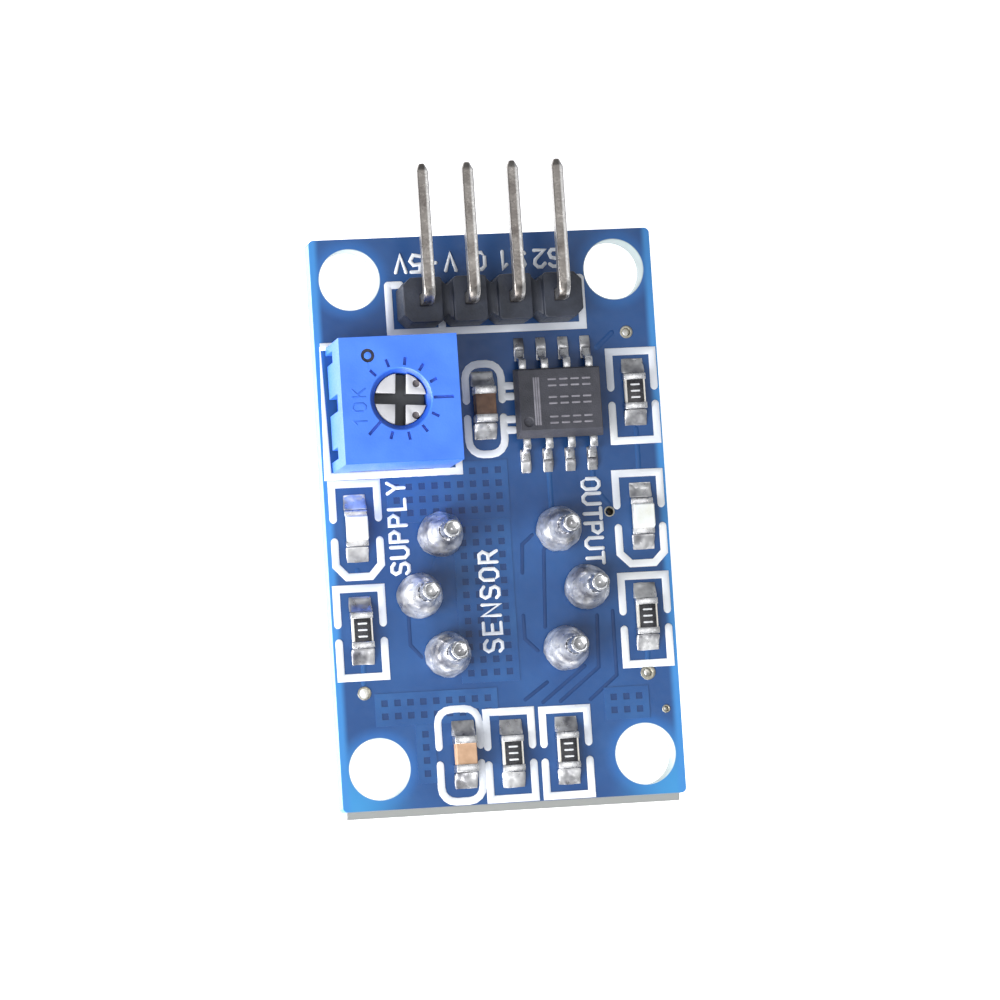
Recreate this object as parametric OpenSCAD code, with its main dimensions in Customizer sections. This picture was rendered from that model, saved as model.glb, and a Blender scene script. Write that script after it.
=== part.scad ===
// Gas sensor module. A small circuit board carries a trimmer, a comparator, a four-pin
// right-angle header and nine chip parts on its component face, and a six-pin
// metal-oxide gas sensor in a gauze-topped can on its other face.
// Millimetres. The origin is the middle of the four mounting holes on the component
// face. +Z points out of that face and +Y towards the tips of the header pins.

/* [Board] */
// Board width, along X
board_w = 19.5; // [19.5:0.5:22]
// Board length, along Y
board_l = 32; // [32:0.5:36]
// Board thickness
board_t = 1.6; // [1.2:0.2:2]
// Distance between mounting holes along X
hole_dx = 15.1; // [14.9:0.1:15.3]
// Distance between mounting holes along Y
hole_dy = 27.4; // [27.2:0.1:27.8]
// Mounting hole diameter
hole_d = 3.4; // [2.6:0.1:3.4]
// Fibre ridge left along the edge where the board was snapped off its panel
snap_ridge = 0.4; // [0.1:0.1:0.6]

/* [Header] */
// Distance between header pins
header_pitch = 2.54; // [2.5:0.01:2.54]
// Side of the square pins
pin_w = 0.64; // [0.5:0.02:0.66]
// Height of the plastic strip
housing_h = 2.54; // [2:0.02:2.8]
// Height of the pins' level run above the board
pin_run_z = 3.75; // [3.6:0.05:4.2]
// How far the pin tips lie from the origin, along Y
pin_tip_y = 19.55; // [17:0.05:22]

/* [Trimmer] */
// Trimmer case size along X
case_w = 6.6; // [6.4:0.1:6.8]
// Trimmer case size along Y
case_l = 7; // [6.8:0.1:7]
// Height of the trimmer above the board
case_h = 4.9; // [4.8:0.05:5.2]
// Diameter of the screwdriver window in the case
window_d = 2.94; // [2.6:0.02:3]
// Width of the screwdriver cross in the rotor
cross_w = 0.62; // [0.4:0.02:0.8]
// Angle at which the rotor is left set
rotor_set = -4; // [-15:1:15]

/* [Comparator] */
// Distance between leads on one side
lead_pitch = 1.27; // [1.2:0.01:1.27]
// Body length along X
ic_l = 4.9; // [4.8:0.05:5]
// Body width along Y
ic_w = 3.9; // [3.8:0.05:4]
// Height of the body's top face
ic_h = 1.6; // [1.5:0.05:1.75]

/* [Gas sensor] */
// Distance from the board's under face to the sensor's end face
sensor_h = 14; // [13:0.5:16]
// Outer diameter of the sensor can
can_d = 15.6; // [15.4:0.1:15.8]
// Outer diameter of the ring that clamps the can to its base
ring_d = 17.6; // [17.4:0.1:18]
// Diameter of the circle on which the six pins stand
pin_circle_d = 9.5; // [9.3:0.1:9.7]
// Outer diameter of the tubular pins
tube_pin_d = 1; // [0.9:0.05:1.05]
// Height of the pin tips above the component face
tube_pin_top = 4.4; // [3.6:0.1:5]

/* [Hidden] */
$fn = 64;
cut = 1;                        // how far a cutting shape runs past what it cuts
board_corner_r = 0.3;
under = -board_t;               // Z of the board's sensor face
// Holes that join the copper of both faces: x, y, hole diameter, ring diameter
VIAS = [[8.05, 10.1, 0.45, 0.72], [6.4, 0, 0.45, 0.6], [-8.15, -9.45, 0.58, 0.76],
        [8, -9.15, 0.45, 0.85], [8.9, -11.25, 0.3, 0.46]];
via_ring_t = 0.03;

header_x = 0.1;                 // middle of the header
header_y = 12.1;                // row of the header's pins
header_notch = 0.44;            // depth of the notches between the header's units
header_groove = [0.64, 0.3];    // width and depth of the break lines across its top
header_hole_d = 1;
header_tail = 1.1;              // length of pin that stands out of the sensor face
bend_r = 0.62;                  // radius of the pins' bend, to the middle of the wire
pin_taper = 0.45;
pin_end_w = 0.3;

trimmer_x = -5.85;
trimmer_y = 6.4;
case_foot_h = 0.4;              // the case stands this far off the board
case_foot_w = 0.9;
cavity_r = 2.45;
cavity_top = case_h - 0.95;     // underside of the case's top wall
window_r = window_d / 2;
window_bevel = 0.28;
rotor_fit = 0.04;               // radial gap between the rotor and the window
rotor_top = case_h - 0.16;
rotor_boss_r = window_r - rotor_fit;
rotor_plate_r = 2.05;
rotor_plate_z = [cavity_top - 0.97, cavity_top - 0.42];
rotor_hub_r = 0.7;
rotor_hub_z = rotor_plate_z[0] - 0.65;
cross_depth = 0.75;
travel_half = 135;              // the dial's marks run this far either side of +X
stop_half = 20;                 // half angle of the stop nub and of the rotor's tab
stop_r = [2.12, 2.36];
dial_marks = 11;
mark_w = 0.17;
mark_depth = 0.14;
mark_r = [1.86, 2.32];
pointer_mark_r = [1.8, 2.95];   // the long marks at mid travel
start_mark_r = [1.66, 2.7];     // and at the start of travel
element_z = [1.25, 1.85];
track_t = 0.03;
track_r = [1.4, 2.0];
wiper_gap = 0.03;               // between the wiper's tip and the track, so it can turn
wiper_t = 0.14;
seal_r = 0.15;                  // section radius of the seal ring
seal_ring_r = 1.8;
terminal_d = 0.5;
terminal_top = case_foot_h + 0.3;   // each terminal ends just inside the case
terminal_hole_d = 0.8;
terminal_tail = 1.1;
// Trimmer terminals, measured from the rotor's axis
TERMINALS = [[-1.27, 2.54], [1.27, 0], [-1.27, -2.54]];

ic_x = 3.7;
ic_y = 6.2;
lead_w = 0.42;
// Side view of one lead: distance from the body's side, height
LEAD = [[0, 0.95], [0.47, 0.95], [0.61, 0.85], [0.71, 0.3], [0.81, 0.22], [1.15, 0.22],
        [1.15, 0.02], [0.74, 0.02], [0.59, 0.12], [0.46, 0.7], [0.39, 0.75], [0, 0.75]];
// Side view of the solder at one foot, in the same terms
FOOT_SOLDER = [[0.5, 0], [1.92, 0], [1.86, 0.07], [1.6, 0.16], [1.3, 0.24], [1.15, 0.2],
               [0.85, 0.14], [0.5, 0.1]];
foot_solder_w = 0.64;

chip_w = 1.25;
chip_l = 2;
chip_z = 0.05;                  // solder lifts each chip part this far off the board
chip_wall = 0.05;               // plating thickness of the end terminals
cap_h = 0.95;                   // height of a capacitor
res_h = 0.5;                    // height of a resistor
led_base_h = 0.28;
led_h = 0.85;
RESISTORS = [[8.25, 6.7], [-8.1, -5.95], [8.1, -6], [-0.05, -13.25], [3.1, -13.25]];
CAPACITORS = [[-0.4, 6.3], [-2.75, -13.15]];
LEDS = [[-8.05, -0.25], [8.25, -0.35]];
chip_solder_w = 1.4;
chip_solder_l = 0.98;

sensor_y = -4.2;                // axis of the gas sensor
pin_angles = [0, 45, 135, 180, 225, 315];
tube_pin_bore_d = 0.62;
tube_pin_hole_d = 1.2;
dome_r = 1.3;                   // the solder joint around each sensor pin
dome_h = tube_pin_top - 1;
// Side view of one sensor joint, a fat dome that necks in to the pin: shares of its
// radius and of its height
DOME = [[1, 0], [1, 0.1], [0.97, 0.235], [0.89, 0.37], [0.77, 0.485], [0.645, 0.58],
        [0.555, 0.68], [0.485, 0.79], [0.43, 0.91]];
sensor_pin_end = under - 5.9;   // Z of the pins' ends inside the can
base_r = ring_d / 2 - 0.6;
base_step_r = base_r - 0.6;
base_step_t = 1;
base_t = 3.6;
can_t = 0.4;
ring_lip_t = 0.3;               // the clamp ring's lip under the can's flange
ring_lip_gap = 0.12;
can_rim_r = 1;
can_bend_r = 0.25;              // outside bend between the can's wall and its flange
can_mouth_r = can_d / 2 - 1.6;
can_flange_z = under - base_t;
sensor_face_z = under - sensor_h;
gauze_t = 0.2;
element_axis_z = sensor_pin_end + 0.5;
ceramic_r = [0.4, 0.6];
ceramic_l = 4;
oxide_t = 0.12;
oxide_l = 3;
electrode_t = 0.03;
electrode_l = 0.4;
heater_r = 0.28;
heater_wire_r = 0.05;
heater_turns = 8;
lead_wire_r = 0.04;

// ---- Shared shapes ----

function polar(r, angle) = [r * cos(angle), r * sin(angle)];
function sensor_pin_at(n) = polar(pin_circle_d / 2, pin_angles[n - 1]) + [0, sensor_y];
function header_pin_x(n) = header_x + (n - 2.5) * header_pitch;

// A plate with round corners, centred
module round_plate(size_x, size_y, corner_r) {
    square([size_x - 2 * corner_r, size_y], center = true);
    square([size_x, size_y - 2 * corner_r], center = true);
    for (sx = [-1, 1], sy = [-1, 1])
        translate([sx * (size_x / 2 - corner_r), sy * (size_y / 2 - corner_r)])
            circle(corner_r);
}

// A box centred on x and y that stands on z
module block(size, at = [0, 0, 0])
    translate([at[0] - size[0] / 2, at[1] - size[1] / 2, at[2]]) cube(size);

// An upright tube between two heights
module tube(r_out, r_in, z_low, z_high)
    difference() {
        translate([0, 0, z_low]) cylinder(h = z_high - z_low, r = r_out);
        translate([0, 0, z_low - cut]) cylinder(h = z_high - z_low + 2 * cut, r = r_in);
    }

// An outline given as (y, z) points, extruded along X and centred on it
module yz_prism(outline, width)
    rotate([90, 0, 90]) translate([0, 0, -width / 2]) linear_extrude(width) polygon(outline);

// An outline given as (x, z) points, extruded along Y and centred on it
module xz_prism(outline, width)
    rotate([90, 0, 0]) translate([0, 0, -width / 2]) linear_extrude(width) polygon(outline);

// A straight round wire between two points
module wire(from, to, r) {
    run = to - from;
    translate(from)
        rotate([0, acos(run[2] / norm(run)), atan2(run[1], run[0])])
            cylinder(h = norm(run), r = r, $fn = 24);
}

// Solder that fills a plated hole and climbs a lead as a hollow-sided cone.
// It stands on z = 0 and fills the hole below, and what the lead takes up is cut later.
module solder_cone(hole_r, foot_r, lead_r, height)
    rotate_extrude()
        polygon([[0, -board_t], [hole_r, -board_t], [hole_r, 0], [foot_r, 0],
                 [foot_r * 0.93, height * 0.09],
                 [lead_r + (foot_r - lead_r) * 0.55, height * 0.3],
                 [lead_r + (foot_r - lead_r) * 0.24, height * 0.6],
                 [lead_r + (foot_r - lead_r) * 0.06, height * 0.92],
                 [lead_r, height], [0, height]]);

// The same cone on the board's sensor face
module solder_cone_under(hole_r, foot_r, lead_r, height)
    translate([0, 0, under]) mirror([0, 0, 1]) solder_cone(hole_r, foot_r, lead_r, height);

// ---- Board ----

module circuit_board()
    color("#2c5a9a")
    difference() {
        union() {
            translate([0, 0, under])
                linear_extrude(board_t) round_plate(board_w, board_l, board_corner_r);
            yz_prism([[-board_l / 2 + 0.2, under * 0.25],
                      [-board_l / 2 - snap_ridge, under * 0.4],
                      [-board_l / 2 - snap_ridge, under * 0.6],
                      [-board_l / 2 + 0.2, under * 0.75]], board_w - 2 * board_corner_r);
        }
        for (sx = [-1, 1], sy = [-1, 1])
            translate([sx * hole_dx / 2, sy * hole_dy / 2, under - cut])
                cylinder(h = board_t + 2 * cut, d = hole_d);
        for (n = [1:4])
            translate([header_pin_x(n), header_y, under - cut])
                cylinder(h = board_t + 2 * cut, d = header_hole_d);
        for (at = TERMINALS)
            translate([trimmer_x + at[0], trimmer_y + at[1], under - cut])
                cylinder(h = board_t + 2 * cut, d = terminal_hole_d);
        for (n = [1:6])
            translate([sensor_pin_at(n)[0], sensor_pin_at(n)[1], under - cut])
                cylinder(h = board_t + 2 * cut, d = tube_pin_hole_d);
        for (via = VIAS)
            translate([via[0], via[1], under - cut])
                cylinder(h = board_t + 2 * cut, d = via[2] + 0.06);
    }

// Copper barrels with a ring on the component face
module plated_vias()
    color("#c9ccd0")
    for (via = VIAS)
        translate([via[0], via[1], 0])
            difference() {
                union() {
                    translate([0, 0, under]) cylinder(h = board_t, d = via[2] + 0.06);
                    cylinder(h = via_ring_t, d = via[3]);
                }
                translate([0, 0, under - cut]) cylinder(h = board_t + 2 * cut, d = via[2]);
            }

// ---- Header ----

// A square bar that stands on z = 0 and ends in a bevelled tip
module pin_bar(length) {
    outline = [[-pin_w / 2, 0], [pin_w / 2, 0], [pin_w / 2, length - pin_taper],
               [pin_end_w / 2, length], [-pin_end_w / 2, length],
               [-pin_w / 2, length - pin_taper]];
    intersection() {
        yz_prism(outline, pin_w);
        xz_prism(outline, pin_w);
    }
}

module header_pin(n)
    color("#d8d8d4")
    translate([header_pin_x(n), header_y, 0]) {
        translate([0, 0, pin_run_z - bend_r])
            mirror([0, 0, 1]) pin_bar(pin_run_z - bend_r - under + header_tail);
        translate([0, bend_r, pin_run_z - bend_r])
            rotate([90, 0, 90]) rotate([0, 0, 90])
                rotate_extrude(angle = 90)
                    translate([bend_r - pin_w / 2, -pin_w / 2]) square(pin_w);
        translate([0, bend_r, pin_run_z])
            rotate([-90, 0, 0]) pin_bar(pin_tip_y - header_y - bend_r);
    }

module header_housing()
    color("#26282c")
    translate([header_x, header_y, 0])
        difference() {
            linear_extrude(housing_h)
                difference() {
                    square([4 * header_pitch, header_pitch], center = true);
                    for (i = [-2:2], sy = [-1, 1])
                        translate([i * header_pitch, sy * header_pitch / 2])
                            rotate(45) square(header_notch * sqrt(2), center = true);
                }
            for (n = [1:4])
                block([pin_w, pin_w, housing_h + 2 * cut],
                      [header_pin_x(n) - header_x, 0, -cut]);
            for (i = [-1:1])
                block([header_groove[0], header_pitch + cut, header_groove[1] + cut],
                      [i * header_pitch, 0, housing_h - header_groove[1]]);
        }

module header_solder()
    color("#b9bcc0")
    for (n = [1:4])
        translate([header_pin_x(n), header_y, 0])
            difference() {
                solder_cone_under(header_hole_d / 2, 0.92, 0.47, 0.8);
                block([pin_w, pin_w, board_t + 4 * cut], [0, 0, under - 2 * cut]);
            }

// ---- Trimmer ----

// A ring sector about the rotor's axis, centred on an angle
module sector(r, half_angle, at_angle, z)
    translate([0, 0, z[0]])
        rotate(at_angle - half_angle)
            rotate_extrude(angle = 2 * half_angle)
                translate([r[0], 0]) square([r[1] - r[0], z[1] - z[0]]);

// One engraved line of the dial
module dial_mark(r, angle)
    rotate(angle)
        translate([r[0], -mark_w / 2, case_h - mark_depth])
            cube([r[1] - r[0], mark_w, mark_depth + cut]);

module trimmer_case()
    color("#4f8ef0")
    translate([trimmer_x, trimmer_y, 0])
        difference() {
            union() {
                difference() {
                    union() {
                        block([case_w, case_l, case_h - case_foot_h], [0, 0, case_foot_h]);
                        for (sx = [-1, 1], sy = [-1, 1])
                            block([case_foot_w, case_foot_w, case_foot_h + 0.2],
                                  [sx * (case_w - case_foot_w) / 2,
                                   sy * (case_l - case_foot_w) / 2, 0]);
                    }
                    rotate_extrude()
                        polygon([[0, -cut], [cavity_r, -cut], [cavity_r, cavity_top],
                                 [window_r, cavity_top], [window_r, case_h - window_bevel],
                                 [window_r + window_bevel, case_h],
                                 [window_r + window_bevel, case_h + cut],
                                 [0, case_h + cut]]);
                    for (at = TERMINALS)
                        translate([at[0], at[1], -cut])
                            cylinder(h = terminal_top + cut, d = terminal_d);
                }
                sector([stop_r[0] + 0.05, cavity_r + 0.1], stop_half, 180,
                       [rotor_plate_z[0] + 0.05, cavity_top]);
            }
            for (i = [1:dial_marks - 2])
                if (i != (dial_marks - 1) / 2)
                    dial_mark(mark_r, -travel_half + i * 2 * travel_half / (dial_marks - 1));
            dial_mark(mark_r, travel_half);
            dial_mark(pointer_mark_r, 0);
            dial_mark(start_mark_r, -travel_half);
            translate([-1.72, 2.46, 0]) tube(0.38, 0.2, case_h - mark_depth, case_h + cut);
            for (groove = [[2.75, 0.65, 2.4], [0.1, 0.95, 3.4], [-2.6, 0.65, 2.4]])
                xz_pocket(groove[0], groove[1], groove[2]);
        }

// A groove in the case's -X wall, open at the board: y, width and height
module xz_pocket(y, width, height)
    translate([-case_w / 2, y, 0])
        xz_prism([[-cut, -cut], [0.42, -cut], [0.42, height - 0.3], [0.12, height],
                  [-cut, height]], width);

module trimmer_rotor()
    color("#d5d5d3")
    translate([trimmer_x, trimmer_y, 0])
        rotate(rotor_set)
            difference() {
                union() {
                    rotate_extrude()
                        polygon([[0, rotor_hub_z], [rotor_hub_r, rotor_hub_z],
                                 [rotor_hub_r, rotor_plate_z[0]],
                                 [rotor_plate_r, rotor_plate_z[0]],
                                 [rotor_plate_r, rotor_plate_z[1]],
                                 [rotor_boss_r, rotor_plate_z[1]],
                                 [rotor_boss_r, rotor_top], [0, rotor_top]]);
                    sector([rotor_plate_r - 0.2, stop_r[1]], stop_half, 0, rotor_plate_z);
                }
                for (turn = [0, 90])
                    rotate(turn)
                        block([2 * rotor_boss_r + cut, cross_w, cross_depth + cut],
                              [0, 0, rotor_top - cross_depth]);
                for (side = [-46, 46])
                    translate([polar(1.22, side)[0], polar(1.22, side)[1],
                               rotor_top - 0.12])
                        cylinder(h = cut, r = 0.2);
            }

// Spring contact: a ring on the rotor's hub with one arm that reaches down to the track
module trimmer_wiper()
    color("#d9b36a")
    translate([trimmer_x, trimmer_y, 0])
        rotate(rotor_set + 180)
            difference() {
                union() {
                    tube(1.1, rotor_hub_r, rotor_plate_z[0] - 0.02 - wiper_t,
                         rotor_plate_z[0] - 0.02);
                    wiper_arm(rotor_plate_z[0] - 0.02, element_z[1] + track_t + wiper_gap);
                }
                translate([0, 0, -cut]) cylinder(h = case_h, r = rotor_hub_r);
            }

module wiper_arm(top_z, tip_z)
    xz_prism([[0.8, top_z - wiper_t], [0.8, top_z], [1.12, top_z],
              [1.82, tip_z + wiper_t + 0.05], [1.82, tip_z], [1.64, tip_z],
              [1.6, tip_z + 0.08], [1.05, top_z - wiper_t]], 0.55);

module trimmer_seal_ring()
    color("#3a3a3a")
    translate([trimmer_x, trimmer_y, cavity_top - seal_r - 0.01])
        rotate_extrude() translate([seal_ring_r, 0]) circle(seal_r, $fn = 24);

module trimmer_element()
    color("#e8e4da")
    translate([trimmer_x, trimmer_y, element_z[0]])
        difference() {
            cylinder(h = element_z[1] - element_z[0], r = cavity_r);
            translate([0, 0, -cut]) cylinder(h = element_z[1] + cut, r = 0.45);
        }

module trimmer_track()
    color("#3d3733")
    translate([trimmer_x, trimmer_y, 0])
        sector(track_r, 142, 180, [element_z[1], element_z[1] + track_t]);

module trimmer_terminals()
    color("#c8c8c6")
    for (at = TERMINALS)
        translate([trimmer_x + at[0], trimmer_y + at[1], under - terminal_tail])
            cylinder(h = terminal_top - under + terminal_tail, d = terminal_d);

module trimmer_end_seal()
    color("#2f64c4")
    translate([trimmer_x, trimmer_y, 0])
        difference() {
            translate([0, 0, case_foot_h]) cylinder(h = element_z[0] - case_foot_h, r = cavity_r);
            for (at = TERMINALS)
                translate([at[0], at[1], -cut]) cylinder(h = terminal_top + cut, d = terminal_d);
        }

module trimmer_solder()
    color("#b9bcc0")
    for (at = TERMINALS)
        translate([trimmer_x + at[0], trimmer_y + at[1], 0])
            difference() {
                solder_cone_under(terminal_hole_d / 2, 0.85, terminal_d / 2 + 0.02, 0.85);
                translate([0, 0, under - 2 * cut])
                    cylinder(h = board_t + 4 * cut, d = terminal_d);
            }

// ---- Comparator ----

module comparator_body()
    color("#30343a")
    translate([ic_x, ic_y, 0])
        difference() {
            intersection() {
                yz_prism([[-ic_w / 2 + 0.13, 0.12], [ic_w / 2 - 0.13, 0.12],
                          [ic_w / 2, 0.72], [ic_w / 2, 0.98], [ic_w / 2 - 0.12, ic_h],
                          [-ic_w / 2 + 0.38, ic_h], [-ic_w / 2, 0.98],
                          [-ic_w / 2, 0.72]], ic_l);
                xz_prism([[-ic_l / 2 + 0.13, 0.12], [ic_l / 2 - 0.13, 0.12],
                          [ic_l / 2, 0.72], [ic_l / 2, 0.98], [ic_l / 2 - 0.12, ic_h],
                          [-ic_l / 2 + 0.12, ic_h], [-ic_l / 2, 0.98],
                          [-ic_l / 2, 0.72]], ic_w);
            }
            translate([-1.85, -1.1, ic_h - 0.07]) cylinder(h = cut, r = 0.27);
        }

// Repeats a lead's worth of geometry, drawn pointing along +Y, at all eight leads
module at_each_lead()
    for (side = [0, 180], i = [-1.5:1.5])
        translate([ic_x, ic_y, 0])
            rotate(side)
                translate([i * lead_pitch, ic_w / 2, 0]) children();

module comparator_leads()
    color("#c9ccce")
    at_each_lead() yz_prism(LEAD, lead_w);

module comparator_solder()
    color("#b9bcc0")
    at_each_lead()
        difference() {
            yz_prism(FOOT_SOLDER, foot_solder_w);
            yz_prism(LEAD, lead_w);
        }

// ---- Chip parts ----

// What lies between the plated ends of a chip part
module chip_core(height)
    block([chip_w - 2 * chip_wall, chip_l - 2 * chip_wall, height - 2 * chip_wall],
          [0, 0, chip_z + chip_wall]);

// The two plated ends of a chip part, each wrapped around its core
module chip_ends(height, reach)
    difference() {
        for (side = [-1, 1])
            block([chip_w, reach, height], [0, side * (chip_l - reach) / 2, chip_z]);
        chip_core(height);
    }

module resistor_body(n)
    color("#e9e9e4")
    translate(RESISTORS[n - 1]) chip_core(res_h);

module resistor_terminals(n)
    color("#c6c8c9")
    translate(RESISTORS[n - 1]) chip_ends(res_h, 0.35);

module capacitor_body(n)
    color(n == 1 ? "#6b4a3a" : "#d9a878")
    translate(CAPACITORS[n - 1]) chip_core(cap_h);

module capacitor_terminals(n)
    color("#c6c8c9")
    translate(CAPACITORS[n - 1]) chip_ends(cap_h, 0.42);

module led_base(n)
    color("#dcdccf")
    translate(LEDS[n - 1]) chip_core(led_base_h);

module led_lens(n)
    color("#f1f3ee")
    translate([LEDS[n - 1][0], LEDS[n - 1][1], chip_z + led_base_h])
        intersection() {
            yz_prism([[-0.72, 0], [0.72, 0], [0.62, led_h - led_base_h],
                      [-0.62, led_h - led_base_h]], chip_w);
            xz_prism([[-chip_w / 2, 0], [chip_w / 2, 0],
                      [chip_w / 2 - 0.06, led_h - led_base_h],
                      [-chip_w / 2 + 0.06, led_h - led_base_h]], chip_l);
        }

module led_terminals(n)
    color("#c6c8c9")
    translate(LEDS[n - 1]) chip_ends(led_base_h, 0.3);

// Two ramps of solder, one at each end of a chip part
module chip_ramps(height)
    for (turn = [0, 180])
        rotate(turn)
            translate([0, chip_l / 2, 0])
                yz_prism([[0, 0], [chip_solder_l, 0], [chip_solder_l * 0.95, height * 0.12],
                          [chip_solder_l * 0.5, height * 0.3],
                          [chip_solder_l * 0.2, height * 0.6], [0, height * 0.9]],
                         chip_solder_w);

module chip_solder()
    color("#b9bcc0") {
        for (at = RESISTORS) translate(at) chip_ramps(res_h);
        for (at = CAPACITORS) translate(at) chip_ramps(res_h * 1.3);
        for (at = LEDS) translate(at) chip_ramps(led_base_h);
    }

// ---- Gas sensor ----

module sensor_base()
    color("#3b2a22")
    difference() {
        translate([0, sensor_y, 0])
            rotate_extrude()
                polygon([[0, under], [base_step_r, under],
                         [base_step_r, under - base_step_t], [base_r, under - base_step_t],
                         [base_r, can_flange_z], [can_d / 2 - can_t, can_flange_z],
                         [can_d / 2 - can_t, can_flange_z - 0.5], [0, can_flange_z - 0.5]]);
        for (n = [1:6])
            translate([sensor_pin_at(n)[0], sensor_pin_at(n)[1], sensor_pin_end])
                cylinder(h = base_t + 6, d = tube_pin_d);
    }

module sensor_clamp_ring()
    color("#b7b9bb")
    translate([0, sensor_y, 0])
        rotate_extrude()
            polygon([[base_r, under - base_step_t], [base_step_r + 0.1, under - base_step_t],
                     [base_step_r + 0.1, under - base_step_t + 0.3],
                     [ring_d / 2 - 0.15, under - base_step_t + 0.3],
                     [ring_d / 2, under - base_step_t + 0.15],
                     [ring_d / 2, can_flange_z - can_t - ring_lip_t / 2],
                     [ring_d / 2 - 0.15, can_flange_z - can_t - ring_lip_t],
                     [can_d / 2 + ring_lip_gap, can_flange_z - can_t - ring_lip_t],
                     [can_d / 2 + can_bend_r + 0.02, can_flange_z - can_t],
                     [base_r, can_flange_z - can_t]]);

// Half section of a round-cornered cup of the given radius, height and corner radius
module cup_section(r, height, corner_r) {
    square([r, height - corner_r]);
    square([r - corner_r, height]);
    translate([r - corner_r, height - corner_r]) circle(corner_r);
}

module sensor_can()
    color("#c2c4c6")
    translate([0, sensor_y, can_flange_z])
        mirror([0, 0, 1])
            rotate_extrude()
                difference() {
                    union() {
                        cup_section(can_d / 2, can_flange_z - sensor_face_z, can_rim_r);
                        square([base_r, can_t]);
                        translate([can_d / 2, can_t])
                            difference() {
                                square(can_bend_r);
                                translate([can_bend_r, can_bend_r]) circle(can_bend_r);
                            }
                    }
                    translate([0, -cut])
                        cup_section(can_d / 2 - can_t,
                                    can_flange_z - sensor_face_z - can_t + cut,
                                    can_rim_r - can_t);
                    square([can_mouth_r, 2 * sensor_h]);
                }

// A gauze disc with a turned-down edge, its end face a given depth inside the can
module gauze_cap(r, depth, edge)
    translate([0, sensor_y, sensor_face_z + depth])
        rotate_extrude()
            polygon([[0, 0], [r, 0], [r, edge], [r - gauze_t, edge], [r - gauze_t, gauze_t],
                     [0, gauze_t]]);

module sensor_gauze_outer()
    color("#9ea1a4")
    gauze_cap(can_d / 2 - can_rim_r - 0.05, can_t + 0.02, 0.6);

module sensor_gauze_inner()
    color("#8d9093")
    gauze_cap(can_d / 2 - can_rim_r - 0.3, can_t + 0.35, 1.6);

// Turns a shape that stands along Z onto the sensing element's axis, along X
module on_element_axis()
    translate([0, sensor_y, element_axis_z]) rotate([0, 90, 0]) children();

module sensor_ceramic_tube()
    color("#f2efe8")
    on_element_axis() tube(ceramic_r[1], ceramic_r[0], -ceramic_l / 2, ceramic_l / 2);

module sensor_oxide_layer()
    color("#8f8a84")
    on_element_axis() tube(ceramic_r[1] + oxide_t, ceramic_r[1], -oxide_l / 2, oxide_l / 2);

module sensor_electrodes()
    color("#e0b64c")
    on_element_axis()
        for (side = [-1, 1])
            translate([0, 0, side * (oxide_l + electrode_l) / 2])
                tube(ceramic_r[1] + electrode_t, ceramic_r[1], -electrode_l / 2,
                     electrode_l / 2);

module sensor_heater_coil()
    color("#a7a39b")
    on_element_axis() {
        translate([0, 0, -ceramic_l / 2])
            linear_extrude(height = ceramic_l, twist = -360 * heater_turns,
                           slices = 16 * heater_turns, $fn = 8)
                translate([heater_r, 0]) circle(heater_wire_r * 1.4);
        for (side = [-1, 1])
            wire([heater_r, 0, side * (ceramic_l / 2 - 0.05)],
                 [heater_r, 0, side * (pin_circle_d - tube_pin_d) / 2], heater_wire_r);
    }

module sensor_lead_wires()
    color("#dedede")
    for (n = [2, 3, 5, 6])
        wire([sign(sensor_pin_at(n)[0]) * (oxide_l + electrode_l) / 2,
              sensor_y + sign(sensor_pin_at(n)[1] - sensor_y) * ceramic_r[1],
              element_axis_z],
             [sensor_pin_at(n)[0] * 0.9, sensor_y + (sensor_pin_at(n)[1] - sensor_y) * 0.9,
              element_axis_z], lead_wire_r);

module sensor_pin(n)
    color("#cfcfca")
    translate([sensor_pin_at(n)[0], sensor_pin_at(n)[1], 0])
        tube(tube_pin_d / 2, tube_pin_bore_d / 2, sensor_pin_end, tube_pin_top);

// Full domes of solder: straight-sided joints that bury most of each pin
module sensor_solder()
    color("#b9bcc0")
    for (n = [1:6])
        translate([sensor_pin_at(n)[0], sensor_pin_at(n)[1], 0])
            rotate_extrude()
                polygon(concat([[tube_pin_d / 2, under], [tube_pin_hole_d / 2, under],
                                [tube_pin_hole_d / 2, 0]],
                               [for (at = DOME) [at[0] * dome_r, at[1] * dome_h]],
                               [[tube_pin_d / 2, dome_h]]));

circuit_board();
plated_vias();
header_housing();
header_pin(1);  // header_pin_1
header_pin(2);  // header_pin_2
header_pin(3);  // header_pin_3
header_pin(4);  // header_pin_4
header_solder();
trimmer_case();
trimmer_rotor();
trimmer_wiper();
trimmer_seal_ring();
trimmer_element();
trimmer_track();
trimmer_terminals();
trimmer_end_seal();
trimmer_solder();
comparator_body();
comparator_leads();
comparator_solder();
resistor_body(1);  // resistor_1_body
resistor_terminals(1);  // resistor_1_terminals
resistor_body(2);  // resistor_2_body
resistor_terminals(2);  // resistor_2_terminals
resistor_body(3);  // resistor_3_body
resistor_terminals(3);  // resistor_3_terminals
resistor_body(4);  // resistor_4_body
resistor_terminals(4);  // resistor_4_terminals
resistor_body(5);  // resistor_5_body
resistor_terminals(5);  // resistor_5_terminals
capacitor_body(1);  // capacitor_1_body
capacitor_terminals(1);  // capacitor_1_terminals
capacitor_body(2);  // capacitor_2_body
capacitor_terminals(2);  // capacitor_2_terminals
led_base(1);  // led_1_base
led_lens(1);  // led_1_lens
led_terminals(1);  // led_1_terminals
led_base(2);  // led_2_base
led_lens(2);  // led_2_lens
led_terminals(2);  // led_2_terminals
chip_solder();
sensor_base();
sensor_clamp_ring();
sensor_can();
sensor_gauze_outer();
sensor_gauze_inner();
sensor_ceramic_tube();
sensor_oxide_layer();
sensor_electrodes();
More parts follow.
